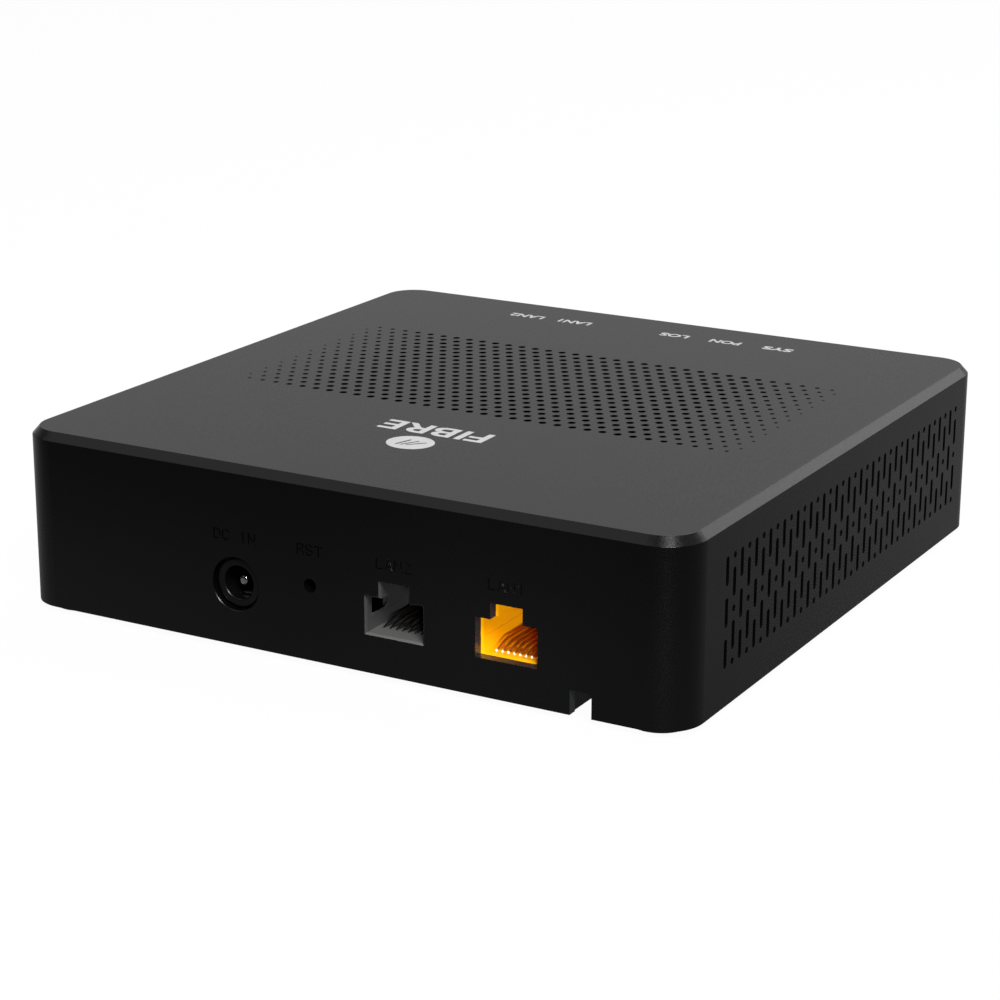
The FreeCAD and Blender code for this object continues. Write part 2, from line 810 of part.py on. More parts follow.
def dc_jack_pin():
    """The centre pin, round at its tip, with a thinner tail through the housing."""
    tip = rear - dc_pin_setback
    tail = along_y(dc_x, dc_axis, dc_pin_tail_radius, dc_back, dc_bore_end + 0.5)
    pin = along_y(dc_x, dc_axis, dc_pin_radius, dc_bore_end, tip)
    end = [e for e in pin.Edges if e.BoundBox.YMin > tip - 0.01]
    return fuse([tail, pin.makeFillet(dc_pin_radius * 0.6, end)])


def dc_jack_contacts():
    """The centre pin's solder lug and the leaf that touches the plug's sleeve."""
    lug = box(dc_x - 1.1, dc_x + 1.1, dc_back - 0.5, dc_back, tail_bottom, dc_axis + 1.2)
    bend = dc_axis - dc_bore_radius - 0.6
    leaf = strip([(dc_leaf_y, tail_bottom), (dc_leaf_y, bend), (dc_front - 2.0, bend + 0.9)],
                 0.3, dc_x, 2.0)
    return group([lug, leaf])


# Reset switch -------------------------------------------------------------------------------------------

reset_front = rear - reset_body_setback - wall
reset_back = reset_front - reset_body_depth
reset_z = base + reset_height
reset_chamber_front = reset_front - 0.8
reset_chamber_back = reset_back + 1.0


def reset_switch_body():
    """Moulded body of an upright push switch that faces the rear hole."""
    half = reset_body_size / 2
    body = box(reset_x - half, reset_x + half, reset_back, reset_front, reset_z - half,
               reset_z + half)
    hole = along_y(reset_x, reset_z, reset_plunger_radius + reset_clearance,
                   reset_chamber_front - 0.5, reset_front + 1)
    chamber = along_y(reset_x, reset_z, reset_flange_radius + 0.3, reset_chamber_back,
                      reset_chamber_front)
    return body.cut(fuse([hole, chamber]))


def reset_dome():
    """Thin snap dome behind the plunger."""
    y0 = reset_chamber_back
    apex = reset_plunger_back() - reset_travel - 0.05
    profile = [(reset_flange_radius, y0), (reset_flange_radius, y0 + 0.1), (0, apex),
               (0, apex - 0.1), (reset_flange_radius - 0.3, y0)]
    points = [vec(reset_x + r, y, reset_z) for r, y in profile]
    face = Part.Face(Part.makePolygon(points + points[:1]))
    return face.revolve(vec(reset_x, 0, reset_z), vec(0, 1, 0), 360)


def reset_plunger_back():
    """The back face of the plunger's flange at rest."""
    return reset_chamber_front - 0.1 - reset_flange


def reset_plunger():
    """The push button: a flange inside the body and a stem towards the rear hole."""
    y0 = reset_plunger_back()
    flange = along_y(reset_x, reset_z, reset_flange_radius, y0, y0 + reset_flange)
    tip = reset_front + reset_plunger_reach
    stem = along_y(reset_x, reset_z, reset_plunger_radius, y0 + reset_flange / 2, tip)
    end = [e for e in stem.Edges if e.BoundBox.YMin > tip - 0.01]
    return fuse([flange, stem.makeChamfer(0.3, end)])


def reset_switch_bracket():
    """Bent sheet that holds the switch body up at the height of the rear hole."""
    half = reset_body_size / 2
    z0 = reset_z - half - reset_sheet
    z1 = reset_z + half
    back = box(reset_x - half - reset_sheet, reset_x + half + reset_sheet,
               reset_back - reset_sheet, reset_back, board_face, z1)
    shelf = box(reset_x - half, reset_x + half, reset_back - 0.1, reset_front, z0, z0 + reset_sheet)
    parts = [back, shelf]
    for x0 in (reset_x - half - reset_sheet, reset_x + half):
        parts.append(box(x0, x0 + reset_sheet, reset_back - 0.1, reset_front, board_face, z1))
        tab_y = reset_back + reset_body_depth / 2
        parts.append(box(x0, x0 + reset_sheet, tab_y - 0.8, tab_y + 0.8, tail_bottom,
                         board_face + 0.1))
    bracket = fuse(parts)
    holes = [upright(reset_x + dx, reset_back + reset_body_depth / 2, 0.5, z0 - 1,
                     z0 + reset_sheet + 0.5) for dx in (-reset_lead_x, reset_lead_x)]
    return bracket.cut(group(holes))


def reset_switch_leads():
    """Two wire leads from the switch body down through the board."""
    y = reset_back + reset_body_depth / 2
    z1 = reset_z - reset_body_size / 2
    return group([upright(reset_x + dx, y, reset_lead_radius, tail_bottom, z1)
                  for dx in (-reset_lead_x, reset_lead_x)])


# Ethernet jacks ---------------------------------------------------------------------------------------------

jack_front = rear_inside - jack_gap
jack_back = jack_front - jack_depth
jack_peg_x = 5.7
jack_peg_y = jack_front - 8.9
jack_peg_radius = 1.6
cavity_back = jack_front - cavity_depth


def flared_mouth(x, inner, outer, mouth_y):
    """A lead-in that opens a socket's outline out to a thin rim."""
    wires = []
    for extra, y in ((inner, mouth_y - lead_in), (outer, mouth_y)):
        points = [vec(px, y, pz) for px, pz in ethernet_cutout(x, extra)]
        wires.append(Part.makePolygon(points + points[:1]))
    return Part.makeLoft(wires, True, True)


def jack_housing(x, pitch, flush):
    """Moulded Ethernet socket, with a thin nose through the case wall when it is flush."""
    body = box(x - jack_width / 2, x + jack_width / 2, jack_back, jack_front, board_face,
               board_face + jack_height)
    solids = [body]
    for peg_x in (x - jack_peg_x, x + jack_peg_x):
        solids.append(upright(peg_x, jack_peg_y, jack_peg_radius, tail_bottom, board_face + 0.5))
    shrink = (port_width - cavity_width) / 2
    if flush:
        solids.append(outline_along_y(ethernet_cutout(x, 0), jack_front - 0.5, rear))
    housing = fuse(solids)
    cavity_extra = -nose_wall if flush else -shrink
    cuts = [outline_along_y(ethernet_cutout(x, cavity_extra), cavity_back, rear + 1)]
    mouth = rear if flush else jack_front
    cuts.append(flared_mouth(x, cavity_extra, -rim_thickness, mouth))
    floor_z = base + port_bottom - cavity_extra
    for wire_x, _ in contact_rows(x, pitch):
        half_slot = contact_width / 2 + comb_clearance
        cuts.append(box(wire_x - half_slot, wire_x + half_slot, cavity_back - 0.1,
                        rear - contact_tip_setback - 1.0, floor_z - comb_depth, floor_z + 0.2))
    line_half = parting_line_width / 2
    line_z = base + parting_line_height
    wall_x = x + port_width / 2 + cavity_extra
    cuts.append(box(wall_x - 0.1, wall_x + parting_line_width, cavity_back, jack_front,
                    line_z - line_half, line_z + line_half))
    chamber_half = contact_count * lan2_contact_pitch / 2
    cuts.append(box(x - chamber_half, x + chamber_half, cavity_back - contact_chamber,
                    cavity_back + 0.5, board_face - 1, contact_top() + contact_thickness))
    if flush:
        window_z = base + side_window_bottom
        window = box(x, x + jack_width, jack_front - side_window_length, jack_front, window_z,
                     window_z + side_window_height)
        deep = [e for e in window.Edges if e.BoundBox.XLength > jack_width / 2
                and e.BoundBox.YMax < jack_front - side_window_length + 0.01
                and e.BoundBox.ZMax < window_z + 0.01]
        cuts.append(window.makeFillet(side_window_corner, deep))
        pocket_x = x + port_width / 2 - nose_wall + side_window_wall
        pocket_y = jack_front - side_window_length - side_window_margin
        cuts.append(box(pocket_x, x + jack_width, pocket_y, jack_front,
                        window_z - side_window_margin, window_z + side_window_height))
    return housing.cut(group(cuts))


def contact_top():
    """How high the contact wires reach inside a jack."""
    return base + port_bottom + contact_thickness + contact_rise


def jack_contacts(x, pitch):
    """Eight spring wires that rise to the back and go down through the board."""
    floor_z = base + port_bottom + nose_wall + contact_thickness / 2 + 0.03
    tip = rear - contact_tip_setback
    wires = []
    for wire_x, tail_y in contact_rows(x, pitch):
        path = [(tip, floor_z), (tip - 0.9, floor_z), (tip - contact_ramp, contact_top()),
                (tail_y, contact_top()), (tail_y, tail_bottom)]
        wires.append(strip(path, contact_thickness, wire_x, contact_width))
    return group(wires)


# Parts on the board -----------------------------------------------------------------------------------------


def chip(x, y, width, depth, height, lift):
    """A flat package with a pin-one dimple."""
    z0 = board_face + lift
    body = box(x - width / 2, x + width / 2, y - depth / 2, y + depth / 2, z0, z0 + height)
    dimple = upright(x - width / 2 + 1.0, y - depth / 2 + 1.0, 0.4, z0 + height - 0.1,
                     z0 + height + 1)
    return body.cut(dimple)


def chip_leads(x, y, depth, count, pitch, foot, z_body):
    """Bent leads in a row along X on both long sides of a package."""
    leads = []
    for i in range(count):
        lead_x = x + (i - (count - 1) / 2) * pitch
        for way in (-1, 1):
            edge = y + way * depth / 2
            path = [(edge, z_body), (edge + way * 0.6, z_body),
                    (edge + way * 0.9, board_face + 0.1), (edge + way * (0.9 + foot), board_face + 0.1)]
            leads.append(strip(path, 0.2, lead_x, pitch * 0.4))
    return group(leads)


transformer_y = jack_back - transformer_gap


def lan_transformer(x):
    """Isolation transformer block behind its jack."""
    return chip(x, transformer_y, transformer_width, transformer_depth, transformer_height, 0.3)


def lan_transformer_leads(x):
    """The transformer's leads."""
    return chip_leads(x, transformer_y, transformer_depth, 12, 1.1, 0.8, board_face + 1.8)


def push_pins():
    """Where the two spring pins hold the heat sink down."""
    reach = sink_size / 2 - push_pin_inset
    return [(soc_x - reach, soc_y + reach), (soc_x + reach, soc_y - reach)]


def heat_sink():
    """Finned aluminium block over the processor."""
    half = sink_size / 2
    solids = [box(soc_x - half, soc_x + half, soc_y - half, soc_y + half, sink_bottom,
                  sink_bottom + sink_base)]
    gap = (sink_size - fin_thickness) / (sink_fins - 1)
    for i in range(sink_fins):
        x0 = soc_x - half + i * gap
        solids.append(box(x0, x0 + fin_thickness, soc_y - half, soc_y + half,
                          sink_bottom + sink_base / 2, sink_bottom + sink_height))
    sink = fuse(solids)
    cuts = []
    for x, y in push_pins():
        cuts.append(upright(x, y, push_pin_radius + 0.1, sink_bottom - 1, sink_bottom + sink_base + 1))
        cuts.append(upright(x, y, 3.0, sink_bottom + sink_base, sink_bottom + sink_height + 1))
    return sink.cut(group(cuts))


def heat_sink_pins():
    """Two push pins through the heat sink and the board."""
    pins = []
    for x, y in push_pins():
        seat = sink_bottom + sink_base
        pins.append(fuse([upright(x, y, push_pin_radius, board_back - 0.8, seat),
                          upright(x, y, push_pin_head, seat, seat + push_pin_radius)]))
    return group(pins)


def power_inductors():
    """Two shielded coils of the voltage converters."""
    coils = []
    half = inductor_half
    for x, converter_y in converter_places():
        y = converter_y - inductor_offset
        coils.append(rounded_block(x - half, x + half, y - half, y + half, board_face,
                                   board_face + inductor_height, half / 3))
    return group(coils)


def converter_places():
    """Where the two voltage converters are, in front of the power inlet."""
    first = dc_back - converter_gap
    return [(dc_x, first), (dc_x, first - converter_pitch)]


def converter_chips():
    """The two converter packages."""
    return group([chip(x, y, soic_width, soic_depth, soic_height, 0.15) for x, y in converter_places()])


def converter_leads():
    """Leads of the two converter packages."""
    leads = []
    for x, y in converter_places():
        leads += chip_leads(x, y, soic_depth, 4, 1.2, 0.5, board_face + 0.9).Solids
    return group(leads)


def electrolytic_capacitors():
    """Three round capacitors beside the power inlet."""
    cans = []
    x = dc_x + dc_width / 2 + capacitor_gap
    half = capacitor_seat
    can_top = board_face + capacitor_height
    for i in range(3):
        y = rear_inside - capacitor_pitch * (i + 1)
        can = upright(x, y, capacitor_radius, board_face + 0.3, can_top)
        rim = [e for e in can.Edges if e.BoundBox.ZMin > can_top - 0.1]
        can = can.makeFillet(0.4, rim)
        seat = box(x - half, x + half, y - half, y + half, board_face, board_face + 0.4)
        cans.append(fuse([can, seat]))
    return group(cans)


def small_parts(places, height):
    """Small blocks soldered to the board."""
    half_w = small_part_half_width
    half_l = small_part_half_length
    return group([box(x - half_w, x + half_w, y - half_l, y + half_l, board_face,
                      board_face + height) for x, y in places])


def small_row(centre, y):
    """Four places side by side behind a jack's transformer."""
    return [(centre + (i - 1.5) * small_part_pitch, y) for i in range(4)]


def ceramic_capacitors():
    """Small capacitors round the processor and behind the jacks."""
    places = []
    for i in range(10):
        y = soc_y + (i - 4.5) * small_part_pitch
        for x in (soc_x - sink_size / 2 - 2.5, soc_x + sink_size / 2 + 2.5):
            places.append((x, y))
    for centre in (lan1_x, lan2_x):
        places += small_row(centre, transformer_y - transformer_depth)
    return small_parts(places, 0.8)


def chip_resistors():
    """Small resistors beside the status lights and behind the jacks."""
    places = [(light_x(slot) + 3.0, led_y + 1.5) for slot in light_slots]
    for centre in (lan1_x, lan2_x):
        places += small_row(centre, transformer_y - transformer_depth - small_part_pitch)
    return small_parts(places, 0.45)


def crystal():
    """Low metal-cased crystal."""
    shapes = []
    for grow, height in ((crystal_rim, crystal_rim), (0, crystal_height)):
        half_w = crystal_half_width + grow
        half_d = crystal_half_depth + grow
        y = soc_y + crystal_offset
        shapes.append(rounded_block(flash_x - half_w, flash_x + half_w, y - half_d, y + half_d,
                                    board_face, board_face + height, half_d - 0.1))
    return fuse(shapes)


def status_leds():
    """One surface-mounted light under each leg of the light guide."""
    return group([box(light_x(slot) - 1.0, light_x(slot) + 1.0, led_y - 0.6, led_y + 0.6,
                      board_face, board_face + led_height) for slot in light_slots])


def shield_can():
    """Thin metal lid over the laser driver."""
    x0 = shield_x - shield_width / 2
    x1 = shield_x + shield_width / 2
    y0 = shield_y - shield_depth / 2
    y1 = shield_y + shield_depth / 2
    lid = board_face + shield_height
    t = shield_sheet
    outer = rounded_block(x0, x1, y0, y1, board_face, lid, 0.8)
    inner = rounded_block(x0 + t, x1 - t, y0 + t, y1 - t, board_face - 1, lid - t, 0.5)
    can = outer.cut(inner)
    pitch_x = shield_width / 6
    pitch_y = shield_depth / 6
    holes = [upright(x0 + pitch_x * (i + 1), y0 + pitch_y * (j + 1), shield_hole_radius,
                     lid - 2 * t, lid + 1) for i in range(5) for j in range(5)]
    return can.cut(group(holes))


def laser_driver_chip():
    """The small driver package under the shield."""
    return chip(shield_x, shield_y, 5.0, 5.0, 0.9, 0.0)


# Optics -----------------------------------------------------------------------------------------------------


def sc_receptacle():
    """Moulded socket for a square fibre plug, with an ear screwed to the board."""
    half_w = receptacle_width / 2
    half_h = receptacle_height / 2
    body = box(optic_x - half_w, optic_x + half_w, receptacle_back, bay_y0, optic_z - half_h,
               optic_z + half_h)
    ear_x, ear_y = receptacle_ear()
    ear = box(optic_x + half_w - 0.5, ear_x + ear_half, ear_y - ear_half, ear_y + ear_half,
              board_face, board_face + ear_thickness)
    housing = fuse([body, ear])
    socket = box(optic_x - socket_width / 2, optic_x + socket_width / 2, bay_y0 - socket_depth,
                 bay_y0 + 1, optic_z - socket_height / 2, optic_z + socket_height / 2)
    key = box(optic_x - key_half_width, optic_x + key_half_width, bay_y0 - key_length, bay_y0 + 1,
              optic_z + socket_height / 2 - 0.5, optic_z + half_h + 1)
    seat = along_y(optic_x, optic_z, sleeve_radius + 0.03, receptacle_back - 1,
                   bay_y0 - socket_depth + 1)
    hole = upright(ear_x, ear_y, board_screw_radius + screw_clearance, board_face - 1,
                   board_face + 3)
    return housing.cut(group([socket, key, seat, hole]))


def receptacle_ear():
    """Where the receptacle's ear is screwed to the board."""
    return bay_x1 + bay_wall + ear_offset, bay_y0 - receptacle_depth / 2


def receptacle_screw():
    """The screw through the ear into the board."""
    x, y = receptacle_ear()
    seat = board_face + ear_thickness
    return pan_screw(x, y, seat, ear_thickness + board_thickness + 0.9)


def ferrule_sleeve():
    """The split-free sleeve that the fibre plug's ferrule slides into."""
    tube = along_y(optic_x, optic_z, sleeve_radius, receptacle_back, receptacle_back + sleeve_length)
    bore = along_y(optic_x, optic_z, sleeve_bore_radius, receptacle_back + 3.0,
                   receptacle_back + sleeve_length + 1)
    return tube.cut(bore)


def optic_block():
    """Metal block that joins the laser and the photodiode to the fibre axis."""
    half = optic_block_size / 2
    return box(optic_x - half, optic_x + half, receptacle_back - optic_block_depth, receptacle_back,
               optic_z - half, optic_z + half)


def laser_can():
    """Round metal can behind the block."""
    y1 = receptacle_back - optic_block_depth
    return along_y(optic_x, optic_z, optic_can_radius, optic_can_end, y1)


def photodiode_can():
    """Round metal can on the block's side."""
    x0 = optic_x + optic_block_size / 2
    y = receptacle_back - optic_block_depth / 2
    return along_x(y, optic_z, optic_can_radius, x0, x0 + optic_can_length)


def optic_leads():
    """Leads from the laser can down to the board."""
    leads = []
    path = [(optic_can_end, optic_z), (optic_lead_y, optic_z), (optic_lead_y, board_face)]
    for i in range(4):
        x = optic_x + (i - 1.5) * optic_lead_pitch
        leads.append(strip(path, 2 * optic_lead_radius, x, 2 * optic_lead_radius))
    return group(leads)


PARTS = {
    "top_cover": top_cover,
    "bottom_shell": bottom_shell,
    "rubber_feet": rubber_feet,
    "case_screws": case_screws,
    "base_label": base_label,
    "light_guide": light_guide,
    "main_pcb": main_pcb,
    "pcb_screws": pcb_screws,
    "dc_jack_housing": dc_jack_housing,
    "dc_jack_pin": dc_jack_pin,
    "dc_jack_contacts": dc_jack_contacts,
    "reset_switch_body": reset_switch_body,
    "reset_switch_bracket": reset_switch_bracket,
    "reset_switch_leads": reset_switch_leads,
    "reset_dome": reset_dome,
    "reset_plunger": reset_plunger,
    "lan1_jack_housing": lambda: jack_housing(lan1_x, lan1_contact_pitch, False),
    "lan1_contacts": lambda: jack_contacts(lan1_x, lan1_contact_pitch),
    "lan2_jack_housing": lambda: jack_housing(lan2_x, lan2_contact_pitch, True),
    "lan2_contacts": lambda: jack_contacts(lan2_x, lan2_contact_pitch),
    "lan1_transformer": lambda: lan_transformer(lan1_x),
    "lan1_transformer_leads": lambda: lan_transformer_leads(lan1_x),
    "lan2_transformer": lambda: lan_transformer(lan2_x),
    "lan2_transformer_leads": lambda: lan_transformer_leads(lan2_x),
    "soc_chip": lambda: chip(soc_x, soc_y, soc_size, soc_size, soc_height, 0.0),
    "thermal_pad": lambda: box(soc_x - soc_size / 2, soc_x + soc_size / 2, soc_y - soc_size / 2,
                               soc_y + soc_size / 2, board_face + soc_height, sink_bottom),
    "heat_sink": heat_sink,
    "heat_sink_pins": heat_sink_pins,
    "memory_chip": lambda: chip(soc_x, memory_y, memory_width, memory_depth, memory_height, 0.15),
    "memory_leads": lambda: chip_leads(soc_x, memory_y, memory_depth, 24, 0.7, 0.4,
                                       board_face + 0.6),
    "flash_chip": lambda: chip(flash_x, soc_y, soic_width, soic_depth, soic_height,
                               0.15),
    "flash_leads": lambda: chip_leads(flash_x, soc_y, soic_depth, 4, 1.2, 0.5, board_face + 0.9),
    "crystal": crystal,
    "power_inductors": power_inductors,
    "converter_chips": converter_chips,
    "converter_leads": converter_leads,
    "electrolytic_capacitors": electrolytic_capacitors,
    "ceramic_capacitors": ceramic_capacitors,
    "chip_resistors": chip_resistors,
    "status_leds": status_leds,
    "shield_can": shield_can,
    "laser_driver_chip": laser_driver_chip,
    "sc_receptacle": sc_receptacle,
    "receptacle_screw": receptacle_screw,
    "ferrule_sleeve": ferrule_sleeve,
    "optic_block": optic_block,
    "laser_can": laser_can,
    "photodiode_can": photodiode_can,
    "optic_leads": optic_leads,
}

os.makedirs("parts", exist_ok=True)
for name, make in PARTS.items():
    shape = make()
    shape.exportStep("parts/" + name + ".step")
    print(name, len(shape.Solids), "solids", round(shape.Volume, 2), "mm3", shape.isValid())
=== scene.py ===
"""Looks of the optical network terminal, around its CAD frame. Lengths are in metres."""
import json
import math

import bmesh
import bpy
from mathutils import Matrix, Vector


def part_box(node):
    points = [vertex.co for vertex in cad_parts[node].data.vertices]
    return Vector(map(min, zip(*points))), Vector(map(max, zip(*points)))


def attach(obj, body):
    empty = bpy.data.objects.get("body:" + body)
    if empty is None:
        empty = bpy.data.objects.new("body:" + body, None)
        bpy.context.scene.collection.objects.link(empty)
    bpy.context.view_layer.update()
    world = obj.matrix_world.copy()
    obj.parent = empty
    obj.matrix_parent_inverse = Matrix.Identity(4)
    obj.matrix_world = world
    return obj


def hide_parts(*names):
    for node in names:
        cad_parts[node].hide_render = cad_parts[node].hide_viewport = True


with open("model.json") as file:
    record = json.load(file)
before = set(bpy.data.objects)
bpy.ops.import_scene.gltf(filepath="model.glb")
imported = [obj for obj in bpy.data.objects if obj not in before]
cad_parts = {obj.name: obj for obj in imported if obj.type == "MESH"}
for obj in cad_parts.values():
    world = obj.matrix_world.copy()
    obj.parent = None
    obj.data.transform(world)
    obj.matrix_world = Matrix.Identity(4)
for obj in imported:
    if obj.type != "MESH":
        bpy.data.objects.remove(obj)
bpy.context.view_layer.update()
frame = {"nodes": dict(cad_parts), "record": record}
nodes = frame["nodes"]
mm = 0.001


# Shader helpers ---------------------------------------------------------------------------------


class Shader:
    """A material with a Principled surface and short ways to add nodes."""

    def __init__(self, name):
        self.material = bpy.data.materials.new(name)
        self.material.use_nodes = True
        self.tree = self.material.node_tree
        self.surface = self.tree.nodes["Principled BSDF"]
        self.place = self.add("ShaderNodeTexCoord").outputs["Object"]

    def add(self, kind, **values):
        """A node of one kind, with its properties set."""
        node = self.tree.nodes.new(kind)
        for key, value in values.items():
            setattr(node, key, value)
        return node

    def link(self, source, target):
        """Joins an output to an input."""
        self.tree.links.new(source, target)

    def noise(self, size, detail=2.0, stretch=(1, 1, 1)):
        """Noise whose features are about size metres across."""
        mapping = self.add("ShaderNodeMapping")
        mapping.inputs["Scale"].default_value = stretch
        self.link(self.place, mapping.inputs["Vector"])
        noise = self.add("ShaderNodeTexNoise")
        noise.inputs["Scale"].default_value = 1 / size
        noise.inputs["Detail"].default_value = detail
        self.link(mapping.outputs["Vector"], noise.inputs["Vector"])
        return noise.outputs["Fac"]

    def ramp(self, factor, low, high, start=0.0, end=1.0):
        """A number that goes from low to high as factor goes from start to end."""
        node = self.add("ShaderNodeMapRange")
        node.inputs["From Min"].default_value = start
        node.inputs["From Max"].default_value = end
        node.inputs["To Min"].default_value = low
        node.inputs["To Max"].default_value = high
        self.link(factor, node.inputs["Value"])
        return node.outputs["Result"]

    def blend(self, factor, first, second):
        """A colour between two colours."""
        node = self.add("ShaderNodeMix", data_type="RGBA")
        self.link(factor, node.inputs[0])
        node.inputs[6].default_value = (*first, 1)
        node.inputs[7].default_value = (*second, 1)
        return node.outputs[2]

    def maths(self, operation, first, second):
        """A calculation on a socket and a number or a second socket."""
        node = self.add("ShaderNodeMath", operation=operation)
        self.link(first, node.inputs[0])
        if isinstance(second, (int, float)):
            node.inputs[1].default_value = second
        else:
            self.link(second, node.inputs[1])
        return node.outputs[0]

    def inverse(self, factor):
        """1 where a mask is 0, and the other way round."""
        return self.ramp(factor, 1, 0)

    def part(self, source, axis):
        """One of the three numbers of a vector."""
        node = self.add("ShaderNodeSeparateXYZ")
        self.link(source, node.inputs[0])
        return node.outputs[axis]

    def facing(self, axis, start, end):
        """0 to 1 as the surface's own normal turns along an axis from start to end."""
        normal = self.add("ShaderNodeTexCoord").outputs["Normal"]
        return self.ramp(self.maths("ABSOLUTE", self.part(normal, axis), 0.0), 0, 1, start, end)

    def soft_edges(self, radius):
        """A normal that rounds sharp edges off by a radius."""
        node = self.add("ShaderNodeBevel", samples=4)
        node.inputs["Radius"].default_value = radius
        return node.outputs["Normal"]

    def bump(self, height, depth, normal=None):
        """Surface relief: height 0 to 1 stands for depth metres."""
        node = self.add("ShaderNodeBump")
        node.inputs["Distance"].default_value = depth
        self.link(height, node.inputs["Height"])
        if normal:
            self.link(normal, node.inputs["Normal"])
        return node.outputs["Normal"]

    def tint(self, mask, colour):
        """Another base colour where a mask is 1."""
        base = self.surface.inputs["Base Color"].links[0].from_socket
        mix = self.add("ShaderNodeMix", data_type="RGBA")
        self.link(mask, mix.inputs[0])
        self.link(base, mix.inputs[6])
        mix.inputs[7].default_value = (*colour, 1)
        self.link(mix.outputs[2], self.surface.inputs["Base Color"])


noise_low = 0.3
noise_high = 0.7
drift_size = 18 * mm
gloss_spread = 0.05
plastic_grain = 0.25 * mm
plastic_relief = 0.008 * mm
colour_spread = 0.12
brush_depth = 0.003 * mm
brush_dulling = 0.86


def moulded_shader(name, colour, roughness, grain=plastic_grain, relief=plastic_relief,
                   spread=colour_spread, edge=0):
    """Moulded plastic: fine spark-eroded texture, slow colour drift and uneven gloss."""
    s = Shader(name)
    drift = s.noise(drift_size, 2)
    fine = s.noise(grain, 2)
    dark = tuple(c * (1 - spread) for c in colour)
    light = tuple(c * (1 + spread) for c in colour)
    s.link(s.blend(drift, dark, light), s.surface.inputs["Base Color"])
    gloss = s.ramp(fine, roughness - gloss_spread, roughness + gloss_spread, noise_low, noise_high)
    s.link(gloss, s.surface.inputs["Roughness"])
    rounded = s.soft_edges(edge) if edge else None
    s.link(s.bump(fine, relief, rounded), s.surface.inputs["Normal"])
    return s


def moulded(name, colour, roughness, **values):
    """The material of a moulded plastic."""
    return moulded_shader(name, colour, roughness, **values).material


def tinted(name, colour, roughness, tint, mask_maker, **values):
    """Moulded plastic with another colour where a mask is 1."""
    s = moulded_shader(name, colour, roughness, **values)
    s.tint(mask_maker(s), tint)
    return s


def painted_light_lips(s):
    """1 on the faces cut through the rear wall at the Ethernet ports, where light is painted: a paler,
    slightly bluish colour stands in for the light on these lips and offsets the yellow the socket
    casts onto them.
    """
    inner_face = rear_face - wall
    behind = s.ramp(s.part(s.place, "Y"), 0, 1, inner_face, inner_face + mask_blend)
    ports_start = reset_x - ports_from_reset
    ports = s.ramp(s.part(s.place, "X"), 1, 0, ports_start, ports_start + mm)
    corner_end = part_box("bottom_shell")[0][0] + ports_from_side
    corner = s.ramp(s.part(s.place, "X"), 0, 1, corner_end, corner_end + mm)
    below = s.ramp(s.part(s.place, "Z"), 1, 0, port_top, port_top + mask_blend)
    sideways = s.inverse(s.facing("Y", 0.3, 0.4))
    level = s.maths("MULTIPLY", behind, below)
    across = s.maths("MULTIPLY", ports, corner)
    return s.maths("MULTIPLY", s.maths("MULTIPLY", level, across), sideways)


def painted_shade_hole_walls(s):
    """1 on upright faces of the lid, which are the insides of its vent holes, where shade is painted.
    """
    return s.inverse(s.facing("Z", 0.3, 0.4))


def painted_light_floors(s):
    """1 on level faces, where light is painted: the socket is made paler there, standing in for the
    light from above that falls on them.
    """
    return s.facing("Z", 0.6, 0.9)


def grey_socket():
    """The grey socket's plastic, with painted light that makes its level faces paler, and black on its
    rim in the case wall.
    """
    s = tinted("grey_plastic", grey_colour, 0.36, floor_painted_light, painted_light_floors)
    rim = s.ramp(s.part(s.place, "Y"), 0, 1, rear_face - rim_reach, rear_face - rim_reach + mask_blend)
    s.tint(s.maths("MULTIPLY", rim, s.facing("Y", 0.7, 0.9)), case_colour)
    return s.material


def vented_lid():
    """The lid's plastic, with painted shade inside its vent holes: there it is near black with no
    specular, standing in for the shade deep in the holes.
    """
    s = tinted("lid_plastic_hole_shade", case_colour, case_gloss, hole_painted_shade, painted_shade_hole_walls, edge=soft_edge)
    s.link(s.ramp(painted_shade_hole_walls(s), plain_specular, 0.0), s.surface.inputs["Specular IOR Level"])
    return s.material


def metal(name, colour, roughness, brush=0.15 * mm, stretch=(1, 1, 1)):
    """Plated or bare metal with faint brushed streaks."""
    s = Shader(name)
    streak = s.noise(brush, 3, stretch)
    dull = tuple(c * brush_dulling for c in colour)
    s.link(s.blend(streak, dull, colour), s.surface.inputs["Base Color"])
    gloss = s.ramp(streak, roughness - 0.06, roughness + 0.08, noise_low, noise_high)
    s.link(gloss, s.surface.inputs["Roughness"])
    s.surface.inputs["Metallic"].default_value = 1.0
    s.link(s.bump(streak, brush_depth), s.surface.inputs["Normal"])
    return s.material


wall = 2.0 * mm
rear_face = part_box("bottom_shell")[1][1]
mask_blend = 0.1 * mm
rim_reach = 0.3 * mm
soft_edge = 0.1 * mm
ports_from_reset = 6 * mm
ports_from_side = 10 * mm
reset_x = sum(corner[0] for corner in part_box("reset_plunger")) / 2
port_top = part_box("bottom_shell")[0][2] + 17.7 * mm
case_colour = (0.002, 0.002, 0.0021)
case_gloss = 0.25
case_relief = 0.005 * mm
# Painted light: the paler, slightly bluish colour laid on the lips of the port openings.
lip_painted_light = (0.019, 0.021, 0.023)
grey_colour = (0.055, 0.055, 0.056)
# Painted light: the paler grey laid on the grey socket's level faces.
floor_painted_light = (0.12, 0.12, 0.118)
# Painted shade: the near-black laid inside the lid's vent holes.
hole_painted_shade = (0.0002, 0.0002, 0.0002)
plain_specular = 0.5

